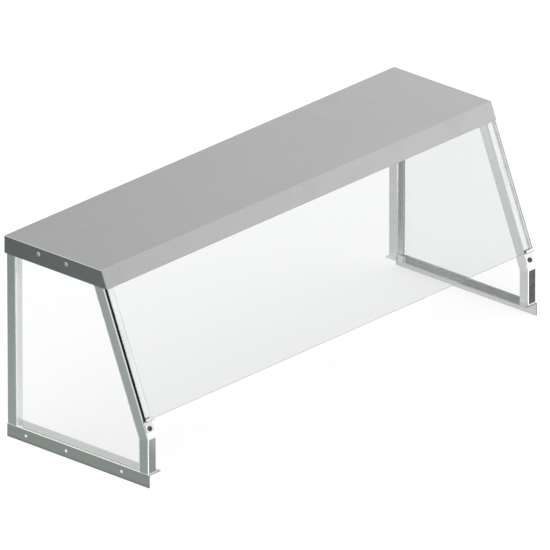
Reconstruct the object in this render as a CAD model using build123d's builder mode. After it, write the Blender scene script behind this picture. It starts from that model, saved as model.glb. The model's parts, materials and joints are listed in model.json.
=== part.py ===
from build123d import *
from math import radians, sin, cos, tan
import os

os.makedirs("parts", exist_ok=True)

# Table-top sneeze guard, millimetres.  X runs along the counter, +Y is the server's side (back),
# Z is up.  Z = 0 is the lower edge of the mounting angles, X = 0 and Y = 0 are mid-width and mid-depth.

# overall
LENGTH = 1524.0              # shelf end to end
TABLE_TO_TOP = 533.4         # mounting angle's upper face to shelf top
LEG_DROP = 38.1              # depth of the mounting angle's hanging leg
BASE_DEPTH = 504.8           # length of the mounting angle, front to back
REAR_OVERHANG = 7.0          # shelf behind the rear posts

# shelf
SHEET = 1.5                  # shelf sheet thickness
SHELF_DEPTH = 346.0          # flat top, back edge to front bend
SKIRT = 49.0                 # height of the shelf's flanges
BEND_OUT = 3.0               # outer bend radius

# tube frame
TUBE = 31.75                 # square tube, outside
TUBE_WALL = 1.5
TUBE_CORNER = 4.0
FOOT_SETBACK = 3.3           # tube front behind the mounting angle's front end
KINK_HEIGHT = 98.0           # front foot's front face, above the angle
SLOPE = 22.1                 # lean of the front post from vertical, degrees

# mounting angle
ANGLE_LEG = 44.45            # width of the horizontal leg
ANGLE_SHEET = 2.5
ANGLE_BEND = 3.5
BOLT_R = 4.4                 # holes in the hanging leg
BOLT_FROM_BACK = (66.7, 209.6, 406.4)

# glass
FRONT_GLASS = 9.5
END_GLASS = 6.0
GLASS_SIDE_GAP = 1.7         # front pane inside the frame's outer faces
GLASS_START = 50.2           # lower edge, up the slope from the kink
GLASS_TOP = 442.0            # upper edge, up the slope from the kink
ARRIS = 0.2                  # polished edge bevel of the front pane
PAD = 1.0                    # bumper strip on the front post
SLIDE_GAP = 0.3              # between the bumper strip and the front pane
PAD_WIDTH = 6.0

# bottom clips, measured up the slope from the kink and out from the post's front face
CLIP_WIDTH = 30.0
CLIP_FOOT = 18.0
CLIP_SHEET = 2.2             # clip is bent from this
CLIP_BEND = 2.0
LEDGE_TOP = 49.0
LIP_TOP = 56.0
LIP_ROUND = 1.0
LINER = 1.0
SCREW_UP = 27.5              # clip screw, up the slope from the kink

# fasteners
SCREW_R = 3.0
SCREW_CLEAR = 3.3
SHELF_HEAD_R = 6.3
CLIP_HEAD_R = 7.0
HEAD_H = 3.2
SOCKET_R = 2.3               # across-corners radius of the hexagon socket
SOCKET_DEPTH = 2.0
NUT_R = 5.8                  # across-corners radius
NUT_H = 5.0
SHELF_SCREWS_FROM_BACK = (123.0, 221.0)

# end pane, set in a clear sealant bead inside the tube frame
PANE_INSET = 1.0             # pane's outer face behind the tube's outer face
BEAD = 2.0                   # width of the bead between tube and pane
BED_GAP = 0.03               # bead stands this far off the pane's edges

# stiffener and foam strip under the shelf
HAT_TOP = 40.0
HAT_FLANGE = 16.0
HAT_DEPTH = 18.0
HAT_SHEET = 1.2
HAT_END_GAP = 6.0
FOAM = 1.5
FOAM_WIDTH = 20.0

# planes and levels shared by several pieces
BACK_Y = (BASE_DEPTH + REAR_OVERHANG) / 2          # shelf's back face
POST_BACK_Y = BACK_Y - REAR_OVERHANG               # rear post's back face
ANGLE_FRONT_Y = POST_BACK_Y - BASE_DEPTH
FOOT_FRONT_Y = ANGLE_FRONT_Y + FOOT_SETBACK
SHELF_FRONT_Y = BACK_Y - SHELF_DEPTH
TOP_Z = LEG_DROP + TABLE_TO_TOP
UNDER_Z = TOP_Z - SHEET
FRAME_TOP_Z = UNDER_Z - FOAM
SKIRT_Z = TOP_Z - SKIRT
KINK_Z = LEG_DROP + KINK_HEIGHT
FRAME_X = LENGTH / 2 - SHEET                       # tube's outer face
TUBE_X = FRAME_X - TUBE / 2                        # tube's centre
RAIL_Z = FRAME_TOP_Z - TUBE / 2
LEAN = tan(radians(SLOPE))
KINK_BACK_Z = KINK_Z - TUBE * tan(radians(SLOPE / 2))
TUBE_ALONG_Y = TUBE / cos(radians(SLOPE))          # sloped tube measured level
UP = (0, sin(radians(SLOPE)), cos(radians(SLOPE)))
OUT = (0, -cos(radians(SLOPE)), sin(radians(SLOPE)))
PANE_BACK = PAD + SLIDE_GAP
PANE_FRONT = PANE_BACK + FRONT_GLASS
LINER_BACK = PANE_FRONT + SLIDE_GAP                # liner's face behind the clip's lip
LIP_BACK = LINER_BACK + LINER
LIP_FRONT = LIP_BACK + CLIP_SHEET
REST_GAP = GLASS_START - LEDGE_TOP - LINER         # pane's lower edge above the liner


def slope_back_y(z):
    """Y of the sloped post's rear face at height z."""
    return FOOT_FRONT_Y + TUBE_ALONG_Y + (z - KINK_Z) * LEAN


def on_slope(x, up, out):
    """World point from its distance up the slope and out from the post's front face."""
    return (
        x,
        FOOT_FRONT_Y + up * UP[1] + out * OUT[1],
        KINK_Z + up * UP[2] + out * OUT[2],
    )


def side_plane(x):
    """Plane seen from the end: local x is world Y, local y is world Z."""
    return Plane(origin=(x, 0, 0), x_dir=(0, 1, 0), z_dir=(1, 0, 0))


def slope_side_plane(x):
    """Plane seen from the end: local x is out from the post, local y is up the slope."""
    return Plane(origin=on_slope(x, 0, 0), x_dir=OUT, z_dir=(-1, 0, 0))


def face_plane(x, up, out):
    """Plane parallel to the front pane, its normal pointing out of the post."""
    return Plane(origin=on_slope(x, up, out), x_dir=(1, 0, 0), z_dir=OUT)


def across_plane(x, up):
    """Plane square to the sloped post, its normal pointing up the slope."""
    return Plane(origin=on_slope(x, up, -TUBE / 2), x_dir=(1, 0, 0), z_dir=UP)


def end_plane(side, y, z):
    """Plane on the outer face of an end frame, its normal pointing away from the guard."""
    return Plane(origin=(side * FRAME_X, y, z), x_dir=(0, side, 0), z_dir=(side, 0, 0))


def tube_section():
    RectangleRounded(TUBE, TUBE, TUBE_CORNER)
    RectangleRounded(TUBE - 2 * TUBE_WALL, TUBE - 2 * TUBE_WALL, TUBE_CORNER - TUBE_WALL, mode=Mode.SUBTRACT)


def shelf_outline(inset):
    """Shelf cross-section from back to front, inset by a sheet thickness when asked."""
    top = TOP_Z - inset
    level_inset = inset / cos(radians(SLOPE))
    back = BACK_Y - inset
    front_top = SHELF_FRONT_Y - LEAN * inset + level_inset
    bottom = SKIRT_Z - inset
    front_bottom = front_top - LEAN * (top - bottom)
    Polygon((back, bottom), (back, top), (front_top, top), (front_bottom, bottom), align=None)


# mitre between the front foot and the sloped post
mitre = Plane(
    origin=(0, FOOT_FRONT_Y, KINK_Z),
    x_dir=(1, 0, 0),
    z_dir=(0, sin(radians(SLOPE / 2)), cos(radians(SLOPE / 2))),
)
slope_back = Plane(origin=(0, FOOT_FRONT_Y + TUBE_ALONG_Y, KINK_Z), x_dir=(1, 0, 0), z_dir=OUT)

# opening of each end frame, as (Y, Z)
GLAZED_TOP_Z = FRAME_TOP_Z - TUBE
opening = (
    (POST_BACK_Y - TUBE, LEG_DROP),
    (POST_BACK_Y - TUBE, GLAZED_TOP_Z),
    (slope_back_y(GLAZED_TOP_Z), GLAZED_TOP_Z),
    (FOOT_FRONT_Y + TUBE, KINK_BACK_Z),
    (FOOT_FRONT_Y + TUBE, LEG_DROP),
)

# ---------------------------------------------------------------- shelf
with BuildPart() as shelf_hollow:
    with BuildSketch(side_plane(-LENGTH / 2 + SHEET)):
        shelf_outline(SHEET)
    extrude(amount=LENGTH - 2 * SHEET)
    inner_bends = shelf_hollow.edges().filter_by(lambda e: e.center().Z > SKIRT_Z)
    fillet(inner_bends, BEND_OUT - SHEET)

with BuildPart() as shelf_top:
    with BuildSketch(side_plane(-LENGTH / 2)):
        shelf_outline(0)
    extrude(amount=LENGTH)
    bends = shelf_top.edges().filter_by(lambda e: e.center().Z > SKIRT_Z + SHEET)
    fillet(bends, BEND_OUT)
    add(shelf_hollow.part, mode=Mode.SUBTRACT)
    for side in (-1, 1):
        for back_gap in SHELF_SCREWS_FROM_BACK:
            with BuildSketch(end_plane(side, BACK_Y - back_gap, RAIL_Z)):
                Circle(SCREW_CLEAR)
            extrude(amount=SHEET * 2, both=True, mode=Mode.SUBTRACT)
shelf_top.part.label = "shelf_top"
export_step(shelf_top.part, "parts/shelf_top.step")

# hat channel, its flanges spot-welded to the underside of the top
HAT_LENGTH = 2 * (FRAME_X - TUBE - HAT_END_GAP)
HAT_Y = BACK_Y - SHELF_DEPTH / 2
with BuildPart() as shelf_stiffener:
    with BuildSketch(side_plane(-HAT_LENGTH / 2)):
        with BuildLine():
            half = HAT_TOP / 2
            Polyline(
                (HAT_Y - half - HAT_FLANGE, UNDER_Z - HAT_SHEET / 2),
                (HAT_Y - half, UNDER_Z - HAT_SHEET / 2),
                (HAT_Y - half, UNDER_Z - HAT_DEPTH),
                (HAT_Y + half, UNDER_Z - HAT_DEPTH),
                (HAT_Y + half, UNDER_Z - HAT_SHEET / 2),
                (HAT_Y + half + HAT_FLANGE, UNDER_Z - HAT_SHEET / 2),
            )
            offset(amount=HAT_SHEET / 2, kind=Kind.INTERSECTION)
        make_face()
    extrude(amount=HAT_LENGTH)
shelf_stiffener.part.label = "shelf_stiffener"
export_step(shelf_stiffener.part, "parts/shelf_stiffener.step")

# ---------------------------------------------------------------- front pane
with BuildPart() as front_glass:
    with BuildSketch(face_plane(0, (GLASS_START + GLASS_TOP) / 2, PANE_BACK)):
        Rectangle(2 * (FRAME_X - GLASS_SIDE_GAP), GLASS_TOP - GLASS_START)
    extrude(amount=FRONT_GLASS)
    chamfer(front_glass.edges(), ARRIS)
front_glass.part.label = "front_glass"
export_step(front_glass.part, "parts/front_glass.step")

# ---------------------------------------------------------------- the two end frames
for side, name in ((-1, "left"), (1, "right")):
    tube_x = side * TUBE_X

    with BuildPart() as rear_post:
        with BuildSketch(Plane((tube_x, POST_BACK_Y - TUBE / 2, LEG_DROP))):
            tube_section()
        extrude(amount=FRAME_TOP_Z - LEG_DROP)
    rear_post.part.label = name + "_rear_post"
    export_step(rear_post.part, "parts/" + name + "_rear_post.step")

    with BuildPart() as front_foot:
        with BuildSketch(Plane((tube_x, FOOT_FRONT_Y + TUBE / 2, LEG_DROP))):
            tube_section()
        extrude(amount=KINK_HEIGHT + TUBE)
        split(bisect_by=mitre, keep=Keep.BOTTOM)
    front_foot.part.label = name + "_front_foot"
    export_step(front_foot.part, "parts/" + name + "_front_foot.step")

    with BuildPart() as front_post:
        with BuildSketch(across_plane(tube_x, -TUBE)):
            tube_section()
        extrude(amount=TABLE_TO_TOP / cos(radians(SLOPE)))
        split(bisect_by=mitre, keep=Keep.TOP)
        split(bisect_by=Plane.XY.offset(FRAME_TOP_Z), keep=Keep.BOTTOM)
        with BuildSketch(face_plane(tube_x, SCREW_UP, -TUBE_WALL * 2)):
            Circle(SCREW_CLEAR)
        extrude(amount=TUBE_WALL * 3, mode=Mode.SUBTRACT)
    front_post.part.label = name + "_front_post"
    export_step(front_post.part, "parts/" + name + "_front_post.step")

    with BuildPart() as top_rail:
        rail_start = Plane(origin=(tube_x, POST_BACK_Y - TUBE, RAIL_Z), x_dir=(1, 0, 0), z_dir=(0, -1, 0))
        with BuildSketch(rail_start):
            tube_section()
        extrude(amount=SHELF_DEPTH)
        split(bisect_by=slope_back, keep=Keep.BOTTOM)
        for back_gap in SHELF_SCREWS_FROM_BACK:
            with BuildSketch(end_plane(side, BACK_Y - back_gap, RAIL_Z)):
                Circle(SCREW_CLEAR)
            extrude(amount=-TUBE_WALL * 2, mode=Mode.SUBTRACT)
    top_rail.part.label = name + "_top_rail"
    export_step(top_rail.part, "parts/" + name + "_top_rail.step")

    # angle: level leg under the tubes, hanging leg flush with their outer faces
    with BuildPart() as mount_angle:
        with BuildSketch(Plane(origin=(0, POST_BACK_Y, 0), x_dir=(1, 0, 0), z_dir=(0, -1, 0))):
            outer = side * FRAME_X
            inner = side * (FRAME_X - ANGLE_SHEET)
            toe = side * (FRAME_X - ANGLE_LEG)
            Polygon(
                (outer, 0),
                (outer, LEG_DROP),
                (toe, LEG_DROP),
                (toe, LEG_DROP - ANGLE_SHEET),
                (inner, LEG_DROP - ANGLE_SHEET),
                (inner, 0),
                align=None,
            )
        extrude(amount=BASE_DEPTH)
        along = mount_angle.edges().filter_by(Axis.Y)
        outer_bend = [
            e for e in along if abs(abs(e.center().X) - FRAME_X) < 0.1 and e.center().Z > LEG_DROP - 0.1
        ]
        fillet(outer_bend, ANGLE_BEND)
        along = mount_angle.edges().filter_by(Axis.Y)
        inner_bend = [
            e
            for e in along
            if abs(abs(e.center().X) - FRAME_X + ANGLE_SHEET) < 0.1
            and e.center().Z > LEG_DROP - ANGLE_SHEET - 0.1
        ]
        fillet(inner_bend, ANGLE_BEND - ANGLE_SHEET)
        for back_gap in BOLT_FROM_BACK:
            with BuildSketch(end_plane(side, POST_BACK_Y - back_gap, LEG_DROP / 2)):
                Circle(BOLT_R)
            extrude(amount=-ANGLE_SHEET * 2, mode=Mode.SUBTRACT)
    mount_angle.part.label = name + "_mount_angle"
    export_step(mount_angle.part, "parts/" + name + "_mount_angle.step")

    # clear end pane, bedded in a sealant bead that fills the gap to the tubes
    pane_x = side * (FRAME_X - PANE_INSET)
    with BuildPart() as end_glass:
        with BuildSketch(side_plane(pane_x)):
            Polygon(*opening, align=None)
            offset(amount=-BEAD, kind=Kind.INTERSECTION)
        extrude(amount=-side * END_GLASS)
    end_glass.part.label = name + "_end_glass"
    export_step(end_glass.part, "parts/" + name + "_end_glass.step")

    with BuildPart() as end_glazing:
        with BuildSketch(side_plane(pane_x)):
            Polygon(*opening, align=None)
        extrude(amount=-side * END_GLASS)
        with BuildSketch(side_plane(pane_x)):
            Polygon(*opening, align=None)
            offset(amount=-(BEAD - BED_GAP), kind=Kind.INTERSECTION)
        extrude(amount=-side * END_GLASS, mode=Mode.SUBTRACT)
    end_glazing.part.label = name + "_end_glazing"
    export_step(end_glazing.part, "parts/" + name + "_end_glazing.step")

    # clip bent from sheet: a screwed plate, a ledge the pane stands on, and a lip in front of it
    with BuildPart() as glass_clip:
        with BuildSketch(slope_side_plane(tube_x + CLIP_WIDTH / 2)):
            Polygon(
                (0, CLIP_FOOT),
                (0, LEDGE_TOP),
                (LIP_BACK, LEDGE_TOP),
                (LIP_BACK, LIP_TOP),
                (LIP_FRONT, LIP_TOP),
                (LIP_FRONT, LEDGE_TOP - CLIP_SHEET),
                (CLIP_SHEET, LEDGE_TOP - CLIP_SHEET),
                (CLIP_SHEET, CLIP_FOOT),
                align=None,
            )
        extrude(amount=CLIP_WIDTH)
        across = glass_clip.edges().filter_by(Axis.X)
        fillet(across.sort_by(Axis.Y)[:1], CLIP_BEND)
        across = glass_clip.edges().filter_by(Axis.X)
        fillet(across.sort_by(Axis.Z)[-2:], LIP_ROUND)
        with BuildSketch(face_plane(tube_x, SCREW_UP, CLIP_SHEET)):
            Circle(SCREW_CLEAR)
        extrude(amount=-CLIP_SHEET, mode=Mode.SUBTRACT)
    glass_clip.part.label = name + "_glass_clip"
    export_step(glass_clip.part, "parts/" + name + "_glass_clip.step")

    with BuildPart() as clip_liner:
        with BuildSketch(slope_side_plane(tube_x + CLIP_WIDTH / 2)):
            Polygon(
                (PAD, LEDGE_TOP),
                (LIP_BACK, LEDGE_TOP),
                (LIP_BACK, LIP_TOP - LIP_ROUND),
                (LINER_BACK, LIP_TOP - LIP_ROUND),
                (LINER_BACK, GLASS_START - REST_GAP),
                (PAD, GLASS_START - REST_GAP),
                align=None,
            )
        extrude(amount=CLIP_WIDTH)
    clip_liner.part.label = name + "_clip_liner"
    export_step(clip_liner.part, "parts/" + name + "_clip_liner.step")

    with BuildPart() as glass_pad:
        pad_low, pad_high = LEDGE_TOP, GLASS_TOP - PAD_WIDTH
        pad_x = side * (FRAME_X - TUBE_CORNER - PAD_WIDTH / 2)
        with BuildSketch(face_plane(pad_x, (pad_low + pad_high) / 2, 0)):
            Rectangle(PAD_WIDTH, pad_high - pad_low)
        extrude(amount=PAD)
    glass_pad.part.label = name + "_glass_pad"
    export_step(glass_pad.part, "parts/" + name + "_glass_pad.step")

    with BuildPart() as shelf_pad:
        foam_back = POST_BACK_Y - TUBE
        foam_front = slope_back_y(FRAME_TOP_Z)
        with BuildSketch(Plane.XY.offset(FRAME_TOP_Z)):
            with Locations((tube_x, (foam_back + foam_front) / 2)):
                Rectangle(FOAM_WIDTH, foam_back - foam_front)
        extrude(amount=FOAM)
    shelf_pad.part.label = name + "_shelf_pad"
    export_step(shelf_pad.part, "parts/" + name + "_shelf_pad.step")

# ---------------------------------------------------------------- fasteners
clip_seats = [face_plane(side * TUBE_X, SCREW_UP, 0) for side in (-1, 1)]
shelf_seats = [end_plane(side, BACK_Y - gap, RAIL_Z) for side in (-1, 1) for gap in SHELF_SCREWS_FROM_BACK]


# button-head socket screws, each through its grip of sheet into the tube's weld nut
for screw_name, seats, grip, head in (
    ("clip_screws", clip_seats, CLIP_SHEET, CLIP_HEAD_R),
    ("shelf_screws", shelf_seats, SHEET, SHELF_HEAD_R),
):
    with BuildPart() as screws:
        for seat in seats:
            with BuildSketch(seat.offset(grip)):
                Circle(head)
            extrude(amount=HEAD_H)
        rims = screws.edges().filter_by(GeomType.CIRCLE)
        outer_rims = [
            rim
            for rim in rims
            if any(abs(seat.to_local_coords(rim.arc_center).Z - grip - HEAD_H) < 0.1 for seat in seats)
        ]
        fillet(outer_rims, HEAD_H * 0.75)
        for seat in seats:
            with BuildSketch(seat.offset(grip)):
                Circle(SCREW_R)
            extrude(amount=-(grip + TUBE_WALL + NUT_H + 1.0))
            with BuildSketch(seat.offset(grip + HEAD_H)):
                RegularPolygon(SOCKET_R, 6)
            extrude(amount=-SOCKET_DEPTH, mode=Mode.SUBTRACT)
    screws.part.label = screw_name
    export_step(screws.part, "parts/" + screw_name + ".step")

# weld nuts on the inside of the tube wall
for nut_name, seats in (("clip_nuts", clip_seats), ("shelf_nuts", shelf_seats)):
    with BuildPart() as nuts:
        for seat in seats:
            with BuildSketch(seat.offset(-TUBE_WALL)):
                RegularPolygon(NUT_R, 6)
                Circle(SCREW_R, mode=Mode.SUBTRACT)
            extrude(amount=-NUT_H)
    nuts.part.label = nut_name
    export_step(nuts.part, "parts/" + nut_name + ".step")
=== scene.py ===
import json
import math

import bpy
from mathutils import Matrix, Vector

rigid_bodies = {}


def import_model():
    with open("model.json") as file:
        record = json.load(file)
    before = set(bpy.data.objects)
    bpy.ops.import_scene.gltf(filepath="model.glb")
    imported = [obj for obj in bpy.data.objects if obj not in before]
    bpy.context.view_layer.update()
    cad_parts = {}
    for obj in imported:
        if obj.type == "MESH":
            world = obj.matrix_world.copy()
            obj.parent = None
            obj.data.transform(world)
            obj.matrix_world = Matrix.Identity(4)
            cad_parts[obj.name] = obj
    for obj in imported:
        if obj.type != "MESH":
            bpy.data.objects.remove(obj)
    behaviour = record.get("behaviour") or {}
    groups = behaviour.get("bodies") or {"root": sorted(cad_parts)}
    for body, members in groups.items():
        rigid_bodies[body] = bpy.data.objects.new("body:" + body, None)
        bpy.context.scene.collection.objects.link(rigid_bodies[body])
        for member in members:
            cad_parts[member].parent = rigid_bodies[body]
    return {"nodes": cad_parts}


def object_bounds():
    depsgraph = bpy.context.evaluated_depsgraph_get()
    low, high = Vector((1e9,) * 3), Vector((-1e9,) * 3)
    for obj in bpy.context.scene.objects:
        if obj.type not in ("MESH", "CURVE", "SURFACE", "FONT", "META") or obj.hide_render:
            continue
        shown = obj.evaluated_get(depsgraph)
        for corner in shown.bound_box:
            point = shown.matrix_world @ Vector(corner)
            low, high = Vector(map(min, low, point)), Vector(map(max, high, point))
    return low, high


for old in list(bpy.data.objects):
    bpy.data.objects.remove(old)

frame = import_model()
cad_lo, cad_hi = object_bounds()
nodes = frame["nodes"]
scene = bpy.context.scene
scene.view_settings.view_transform = "Standard"

SLOPE = math.radians(22.1)           # lean of the front pane and posts
SIDES = ("left", "right")
EDGE_BAND = 0.0012                   # band along a steel edge painted lighter: wear and a painted highlight
EDGE_EASE = 0.0005                   # radius that shading eases a steel edge to
BRUSH_DEPTH = 0.00003                # height of the brushing
FILM_ROUGH = 0.015                   # roughness of the thin film on the glass
WAVE_DEPTH = 0.0002                  # height of the slow waves in the glass
PALE, GREENISH = (0.985, 1.0, 0.99), (0.90, 1.0, 0.94)   # tints of the studio's light

# mirror directions of the shelf's level top and of its sloped front flange
OFF_TOP = (0.679, 0.616, 0.399)
OFF_FLANGE = (0.679, -0.720, 0.1435)


# ---------------------------------------------------------------- node helpers
def new_material(name):
    mat = bpy.data.materials.new(name)
    mat.use_nodes = True
    tree = mat.node_tree
    tree.nodes.clear()
    out = tree.nodes.new("ShaderNodeOutputMaterial")
    shader = tree.nodes.new("ShaderNodeBsdfPrincipled")
    tree.links.new(shader.outputs[0], out.inputs["Surface"])
    return mat, tree, shader, out


def add(tree, kind, **settings):
    node = tree.nodes.new(kind)
    for key, value in settings.items():
        setattr(node, key, value)
    return node


def noise(tree, vector, scale, detail=2.0, rough=0.5):
    n = add(tree, "ShaderNodeTexNoise")
    n.inputs["Scale"].default_value = scale
    n.inputs["Detail"].default_value = detail
    n.inputs["Roughness"].default_value = rough
    tree.links.new(vector, n.inputs["Vector"])
    return n.outputs["Fac"]


def ramp(tree, value, low, high, out_low, out_high):
    r = add(tree, "ShaderNodeMapRange", interpolation_type="SMOOTHSTEP")
    r.inputs["From Min"].default_value = low
    r.inputs["From Max"].default_value = high
    r.inputs["To Min"].default_value = out_low
    r.inputs["To Max"].default_value = out_high
    tree.links.new(value, r.inputs["Value"])
    return r.outputs["Result"]


def math_node(tree, operation, a, b):
    m = add(tree, "ShaderNodeMath", operation=operation)
    for socket, value in zip(m.inputs, (a, b)):
        if isinstance(value, (int, float)):
            socket.default_value = value
        else:
            tree.links.new(value, socket)
    return m.outputs[0]


def scaled(tree, vector, scale, rotation=(0, 0, 0)):
    turn = add(tree, "ShaderNodeMapping", vector_type="POINT")
    turn.inputs["Rotation"].default_value = rotation
    tree.links.new(vector, turn.inputs["Vector"])
    m = add(tree, "ShaderNodeMapping", vector_type="POINT")
    m.inputs["Scale"].default_value = scale
    tree.links.new(turn.outputs[0], m.inputs["Vector"])
    return m.outputs[0]


def mix_colour(tree, factor, a, b, blend="MIX"):
    m = add(tree, "ShaderNodeMix", data_type="RGBA", blend_type=blend)
    for socket, value in ((m.inputs[0], factor), (m.inputs[6], a), (m.inputs[7], b)):
        if isinstance(value, (int, float)):
            socket.default_value = value
        elif isinstance(value, tuple):
            socket.default_value = (*value, 1.0)
        else:
            tree.links.new(value, socket)
    return m.outputs[2]


def edge_mask(tree, radius):
    """1 on a narrow band along the edges, 0 on the flats."""
    soft = add(tree, "ShaderNodeBevel", samples=4)
    soft.inputs["Radius"].default_value = radius
    here = add(tree, "ShaderNodeNewGeometry")
    dot = add(tree, "ShaderNodeVectorMath", operation="DOT_PRODUCT")
    tree.links.new(soft.outputs[0], dot.inputs[0])
    tree.links.new(here.outputs["Normal"], dot.inputs[1])
    return ramp(tree, dot.outputs["Value"], 0.995, 0.86, 0.0, 1.0)


def steel(name, colour, rough, grain, rotation=(0, 0, 0), streak=0.05, wear_and_highlight=0.35, fine=2200.0):
    """Brushed stainless. grain is the axis the brushing runs along, after the rotation."""
    mat, tree, shader, _ = new_material(name)
    where = add(tree, "ShaderNodeTexCoord").outputs["Object"]
    along = {"X": (0, 1, 2), "Y": (1, 0, 2), "Z": (2, 0, 1)}[grain]

    def stretch(along_scale, across_scale):
        s = [across_scale] * 3
        s[along[0]] = along_scale
        return scaled(tree, where, tuple(s), rotation)

    fine_lines = noise(tree, stretch(9.0, fine), 1.0, 3.0, 0.6)
    mid_lines = noise(tree, stretch(3.0, 420.0), 1.0, 2.0, 0.55)
    broad_lines = noise(tree, stretch(0.9, 70.0), 1.0, 2.0, 0.5)
    smudge = noise(tree, scaled(tree, where, (1, 1, 1)), 9.0, 3.0, 0.6)

    lines = math_node(
        tree,
        "ADD",
        math_node(tree, "MULTIPLY", mid_lines, 0.6),
        math_node(tree, "MULTIPLY", broad_lines, 0.4),
    )
    tone = ramp(tree, lines, 0.3, 0.7, 1.0 - streak, 1.0 + streak)
    fine_tone = ramp(tree, fine_lines, 0.25, 0.75, 1.0 - streak, 1.0 + streak)
    tone_lines = math_node(tree, "MULTIPLY", tone, fine_tone)
    grey = add(tree, "ShaderNodeCombineColor")
    for i in range(3):
        tree.links.new(tone_lines, grey.inputs[i])
    base = mix_colour(tree, 1.0, colour, grey.outputs[0], "MULTIPLY")
    # edges painted lighter in a patchy band: partly wear, partly a painted highlight standing in
    # for edges catching the light
    patchy = ramp(tree, smudge, 0.35, 0.65, wear_and_highlight * 0.4, wear_and_highlight)
    worn_and_highlit = math_node(tree, "MULTIPLY", edge_mask(tree, EDGE_BAND), patchy)
    polished_and_highlit = tuple(min(1.0, c * 1.35) for c in colour)
    base = mix_colour(tree, worn_and_highlit, base, polished_and_highlit)
    tree.links.new(base, shader.inputs["Base Color"])

    grain_rough = ramp(tree, fine_lines, 0.3, 0.7, rough - 0.05, rough + 0.05)
    hand_rough = ramp(tree, smudge, 0.4, 0.75, -0.02, 0.05)
    roughness = math_node(tree, "ADD", grain_rough, hand_rough)
    roughness = math_node(tree, "SUBTRACT", roughness, math_node(tree, "MULTIPLY", worn_and_highlit, 0.12))
    tree.links.new(roughness, shader.inputs["Roughness"])
    shader.inputs["Metallic"].default_value = 1.0

    bump = add(tree, "ShaderNodeBump")
    bump.inputs["Strength"].default_value = 0.25
    bump.inputs["Distance"].default_value = BRUSH_DEPTH
    eased = add(tree, "ShaderNodeBevel", samples=4)
    eased.inputs["Radius"].default_value = EDGE_EASE
    tree.links.new(eased.outputs[0], bump.inputs["Normal"])
    height = math_node(tree, "ADD", fine_lines, math_node(tree, "MULTIPLY", mid_lines, 0.5))
    tree.links.new(height, bump.inputs["Height"])
    tree.links.new(bump.outputs[0], shader.inputs["Normal"])
    return mat


def glass(name, absorb):
    """Clear float glass. absorb is what each metre of it takes out of red, green and blue."""
    mat, tree, shader, out = new_material(name)
    where = add(tree, "ShaderNodeTexCoord").outputs["Object"]
    shader.inputs["Base Color"].default_value = (1, 1, 1, 1)
    shader.inputs["Transmission Weight"].default_value = 1.0
    shader.inputs["IOR"].default_value = 1.5
    film = noise(tree, scaled(tree, where, (1, 1, 1)), 6.0, 3.0, 0.6)
    tree.links.new(ramp(tree, film, 0.45, 0.8, 0.0, FILM_ROUGH), shader.inputs["Roughness"])
    wave = add(tree, "ShaderNodeBump")
    wave.inputs["Strength"].default_value = 0.05
    wave.inputs["Distance"].default_value = WAVE_DEPTH
    tree.links.new(noise(tree, scaled(tree, where, (1, 1, 1)), 3.0, 1.0), wave.inputs["Height"])
    tree.links.new(wave.outputs[0], shader.inputs["Normal"])
    volume = add(tree, "ShaderNodeVolumeAbsorption")
    density = max(absorb)
    volume.inputs["Density"].default_value = density
    volume.inputs["Color"].default_value = (*(1 - a / density for a in absorb), 1)
    tree.links.new(volume.outputs[0], out.inputs["Volume"])
    return mat


def soft_plastic(name, colour, rough, transmission=0.0, metal=0.0, grain=900.0, depth=0.00008):
    """Vinyl, sealant or foam. grain and depth set its fine speckle."""
    mat, tree, shader, _ = new_material(name)
    where = add(tree, "ShaderNodeTexCoord").outputs["Object"]
    speckle = noise(tree, scaled(tree, where, (1, 1, 1)), grain, 3.0, 0.6)
    cloud = noise(tree, scaled(tree, where, (1, 1, 1)), 40.0, 3.0, 0.6)
    darker = tuple(c * 0.82 for c in colour)
    base = mix_colour(tree, ramp(tree, cloud, 0.35, 0.7, 0.0, 1.0), colour, darker)
    tree.links.new(base, shader.inputs["Base Color"])
    roughness = ramp(tree, speckle, 0.3, 0.7, rough - 0.08, rough + 0.08)
    tree.links.new(roughness, shader.inputs["Roughness"])
    shader.inputs["Transmission Weight"].default_value = transmission
    shader.inputs["Metallic"].default_value = metal
    bump = add(tree, "ShaderNodeBump")
    bump.inputs["Strength"].default_value = 0.4
    bump.inputs["Distance"].default_value = depth
    tree.links.new(speckle, bump.inputs["Height"])
    tree.links.new(bump.outputs[0], shader.inputs["Normal"])
    return mat


# ---------------------------------------------------------------- materials
shelf_mat = steel("shelf_brushed", (0.42, 0.42, 0.42), 0.30, "X", streak=0.012)
# the three tube materials are one square-tube stock: the sloped copy is painted lighter and the
# upright copy darker than the level one, as painted light and shade; each also runs its grain its
# own way
post_mat = steel("tube_upright", (0.88, 0.89, 0.88), 0.27, "Z", streak=0.05)
slope_mat = steel("tube_sloped", (0.96, 0.97, 0.96), 0.27, "Z", rotation=(SLOPE, 0, 0), streak=0.05)
rail_mat = steel("tube_level", (0.93, 0.94, 0.93), 0.27, "Y", streak=0.05)
angle_mat = steel("angle_brushed", (0.70, 0.71, 0.70), 0.28, "Y", streak=0.05)
clip_mat = steel("clip_satin", (0.70, 0.70, 0.69), 0.22, "X", streak=0.03, fine=3500.0)
inner_mat = steel("mill_finish", (0.55, 0.55, 0.55), 0.42, "X", streak=0.04)
screw_mat = steel("screw_turned", (0.66, 0.66, 0.65), 0.20, "Z", streak=0.03, fine=5000.0)
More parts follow.
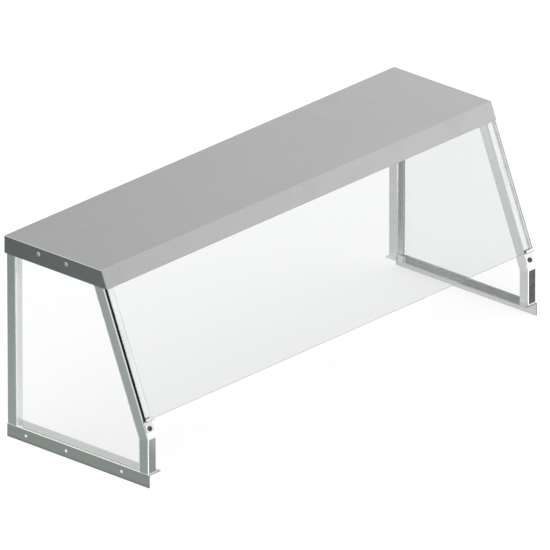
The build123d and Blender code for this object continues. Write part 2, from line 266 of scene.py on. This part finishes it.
# clip screws: steel with a near-black base colour
black_screw_mat = steel(
    "screw_near_black", (0.10, 0.10, 0.10), 0.30, "Z", streak=0.05, wear_and_highlight=0.6, fine=5000.0
)
pane_mat = glass("front_pane_clear", (20.0, 19.6, 19.4))
end_mat = glass("end_pane_clear", (10.0, 9.2, 9.6))
gasket_mat = soft_plastic("clear_sealant", (0.95, 0.97, 0.96), 0.32, transmission=0.10)
bumper_mat = soft_plastic("clear_bumper", (0.95, 0.96, 0.95), 0.38, metal=0.85)  # film over steel
liner_mat = soft_plastic("grey_liner", (0.45, 0.46, 0.45), 0.55)
foam_mat = soft_plastic("black_foam", (0.03, 0.03, 0.032), 0.85, grain=1600.0, depth=0.0003)

paint = {
    "shelf_top": shelf_mat,
    "shelf_stiffener": inner_mat,
    "front_glass": pane_mat,
    "clip_screws": black_screw_mat,
    "shelf_screws": screw_mat,
    "clip_nuts": inner_mat,
    "shelf_nuts": inner_mat,
}
for side in SIDES:
    for piece, mat in (
        ("rear_post", post_mat),
        ("front_foot", post_mat),
        ("front_post", slope_mat),
        ("top_rail", rail_mat),
        ("mount_angle", angle_mat),
        ("end_glass", end_mat),
        ("end_glazing", gasket_mat),
        ("glass_clip", clip_mat),
        ("clip_liner", liner_mat),
        ("glass_pad", bumper_mat),
        ("shelf_pad", foam_mat),
    ):
        paint[side + "_" + piece] = mat

for name, mat in paint.items():
    obj = nodes[name]
    for slot in obj.material_slots:
        slot.material = mat
    if not obj.material_slots:
        obj.data.materials.append(mat)


# ---------------------------------------------------------------- floor
REACH = 60.0                         # half the floor's width
FLOOR_DROP, CARD_DROP = 0.0005, 0.0010   # below the guard's lowest point
FLOOR_GLOW, MIRRORED_GLOW = 0.82, 0.95   # seen directly, and in a reflection
floor_mesh = bpy.data.meshes.new("floor")
floor_mesh.from_pydata(
    [(-REACH, -REACH, 0), (REACH, -REACH, 0), (REACH, REACH, 0), (-REACH, REACH, 0)],
    [],
    [(0, 1, 2, 3)],
)
floor = bpy.data.objects.new("floor", floor_mesh)
scene.collection.objects.link(floor)
floor.location.z = cad_lo.z - FLOOR_DROP
floor_mat, tree, shader, out = new_material("pale_floor")
shader.inputs["Base Color"].default_value = (0.30, 0.30, 0.30, 1)
shader.inputs["Roughness"].default_value = 0.9
shader.inputs["Specular IOR Level"].default_value = 0.0
shader.inputs["Emission Color"].default_value = (1, 1, 1, 1)
shader.inputs["Emission Strength"].default_value = FLOOR_GLOW
glow = add(tree, "ShaderNodeEmission")
place = add(tree, "ShaderNodeSeparateXYZ")
tree.links.new(add(tree, "ShaderNodeTexCoord").outputs["Object"], place.inputs[0])
to_right = ramp(tree, place.outputs["X"], 0.55, 0.90, 0.0, 0.75)
to_front = ramp(tree, place.outputs["Y"], -0.05, 0.30, 1.0, 0.0)
dimmed = math_node(tree, "MULTIPLY", to_right, to_front)
tree.links.new(math_node(tree, "SUBTRACT", MIRRORED_GLOW, dimmed), glow.inputs["Strength"])
bounces = add(tree, "ShaderNodeLightPath").outputs["Glossy Depth"]
mirrored = math_node(tree, "GREATER_THAN", bounces, 0.5)
blend = add(tree, "ShaderNodeMixShader")
tree.links.new(mirrored, blend.inputs[0])
tree.links.new(shader.outputs[0], blend.inputs[1])
tree.links.new(glow.outputs[0], blend.inputs[2])
tree.links.new(blend.outputs[0], out.inputs["Surface"])
floor_mesh.materials.append(floor_mat)
floor.visible_glossy = False

# ---------------------------------------------------------------- soft studio surround
world = bpy.data.worlds.new("studio")
scene.world = world
world.use_nodes = True
tree = world.node_tree
tree.nodes.clear()
world_out = add(tree, "ShaderNodeOutputWorld")
background = add(tree, "ShaderNodeBackground")
tree.links.new(background.outputs[0], world_out.inputs["Surface"])
direction = add(tree, "ShaderNodeTexCoord").outputs["Generated"]


def lobe(towards, start, end, amount):
    """amount inside a soft spot of the surround, 0 outside it."""
    dot = add(tree, "ShaderNodeVectorMath", operation="DOT_PRODUCT")
    tree.links.new(direction, dot.inputs[0])
    dot.inputs[1].default_value = Vector(towards).normalized()
    return ramp(tree, dot.outputs["Value"], start, end, 0.0, amount)


AMBIENT = 0.86
LOBES = (
    # towards, start, end, amount
    ((0.68, -0.62, -0.40), 0.84, 0.96, -0.80),        # low in front, to the right
    ((0.68, -0.72, 0.14), 0.90, 0.99, 0.85),          # in the sloped posts, through the pane
    ((0.68, 0.62, 0.40), 0.80, 0.97, -0.56),          # in the right angle, through the end pane
    ((-0.15, -0.905, -0.40), 0.86, 0.96, 1.10),       # in the tubes' rounded corners
    ((-0.75, -0.62, -0.22), 0.88, 0.98, -0.28),       # past the left end, seen from the back
    ((0.68, 0.68, -0.26), 0.85, 0.98, -0.22),         # low behind, seen from the back
    ((-0.40, 0.62, 0.68), 0.85, 0.98, 1.0),           # in the angles' bends
    ((0.679, -0.141, 0.723), 0.88, 0.98, 0.5),        # in the shelf's front bend
    ((0.0, 0.0, 1.0), 0.60, 1.00, 0.25),              # overhead
)
dark_end = lobe((-0.68, 0.62, -0.40), 0.50, 0.88, 1.0)    # low behind, past the left end
total = math_node(tree, "MULTIPLY", dark_end, -0.60)
for spot in LOBES:
    total = math_node(tree, "ADD", total, lobe(*spot))
total = math_node(tree, "ADD", total, AMBIENT)
tree.links.new(total, background.inputs["Strength"])
tree.links.new(mix_colour(tree, dark_end, PALE, GREENISH), background.inputs["Color"])


# ---------------------------------------------------------------- panels only reflections see
HIDDEN_FROM = (
    "visible_camera",
    "visible_diffuse",
    "visible_transmission",
    "visible_volume_scatter",
    "visible_shadow",
)
GUARD_MIDDLE = Vector((0, 0, 0.5))


def card(name, corners, colour, axis, start, end, low, high):
    """Glowing panel, its strength running from low to high along one axis."""
    mesh = bpy.data.meshes.new(name)
    mesh.from_pydata(corners, [], [(0, 1, 2, 3)])
    panel = bpy.data.objects.new(name, mesh)
    scene.collection.objects.link(panel)
    for flag in HIDDEN_FROM:
        setattr(panel, flag, False)
    mat = bpy.data.materials.new(name)
    mat.use_nodes = True
    tree = mat.node_tree
    tree.nodes.clear()
    out = add(tree, "ShaderNodeOutputMaterial")
    glow = add(tree, "ShaderNodeEmission")
    glow.inputs["Color"].default_value = (*colour, 1)
    place = add(tree, "ShaderNodeSeparateXYZ")
    tree.links.new(add(tree, "ShaderNodeTexCoord").outputs["Object"], place.inputs[0])
    tree.links.new(ramp(tree, place.outputs[axis], start, end, low, high), glow.inputs["Strength"])
    tree.links.new(glow.outputs[0], out.inputs["Surface"])
    mesh.materials.append(mat)


def level_card(name, x_low, x_high, y_low, y_high, *look):
    """Panel lying just under the floor's surface."""
    z = cad_lo.z - CARD_DROP
    corners = [(x_low, y_low, z), (x_high, y_low, z), (x_high, y_high, z), (x_low, y_high, z)]
    card(name, corners, *look)


def facing_card(name, towards, distance, half, half_high, *look):
    """Panel standing across one direction from the middle of the guard."""
    away = Vector(towards).normalized()
    side = away.cross(Vector((0, 0, 1))).normalized()
    rise = side.cross(away)
    middle = GUARD_MIDDLE + away * distance
    corners = [
        tuple(middle + side * a * half + rise * b * half_high)
        for a, b in ((-1, -1), (1, -1), (1, 1), (-1, 1))
    ]
    card(name, corners, *look)


level_card("inside_left", -0.757, -0.05, -0.26, 1.10, PALE, "X", -0.75, -0.05, 0.98, 0.86)
level_card("inside_right", -0.05, 0.757, -0.26, 1.10, PALE, "X", 0.60, 0.74, 0.64, 0.80)
level_card("outside_left", -3.20, -0.770, -0.26, 3.00, GREENISH, "Y", 0.55, 1.20, 0.37, 0.275)
level_card("front_left", -0.74, 0.25, -1.00, -0.265, PALE, "X", -0.60, -0.25, 0.30, 1.05)
facing_card("above_right", OFF_TOP, 3.2, 2.2, 2.0, PALE, "X", 0.9, 3.3, 0.76, 1.16)
facing_card("front_right", OFF_FLANGE, 3.2, 1.9, 0.95, PALE, "X", 0.9, 3.3, 1.05, 1.50)

# ---------------------------------------------------------------- camera, near-parallel view
AZIMUTH, ELEVATION = math.radians(-47.764), math.radians(23.523)
LENS, SENSOR = 1500.0, 36.0          # millimetres
WIDTH = 550 / 380.0                  # metres across the frame
AIM_RIGHT, AIM_UP = 0.0063, 0.0015   # aim's offset from the guard's middle
NEAR, FAR = 1.0, 200.0
right = Vector((math.cos(AZIMUTH), math.sin(AZIMUTH), 0))
back = Vector(
    (
        math.sin(AZIMUTH) * math.cos(ELEVATION),
        -math.cos(AZIMUTH) * math.cos(ELEVATION),
        math.sin(ELEVATION),
    )
)
up = back.cross(right)
target = Vector((0, 0, (cad_lo.z + cad_hi.z) / 2)) + right * AIM_RIGHT + up * AIM_UP
cam_data = bpy.data.cameras.new("camera")
cam_data.lens = LENS
cam_data.sensor_width = SENSOR
cam_data.clip_start = NEAR
cam_data.clip_end = FAR
camera = bpy.data.objects.new("camera", cam_data)
scene.collection.objects.link(camera)
camera.location = target + back * (WIDTH * LENS / SENSOR)
camera.rotation_mode = "QUATERNION"
camera.rotation_quaternion = (-back).to_track_quat("-Z", "Y")
scene.camera = camera
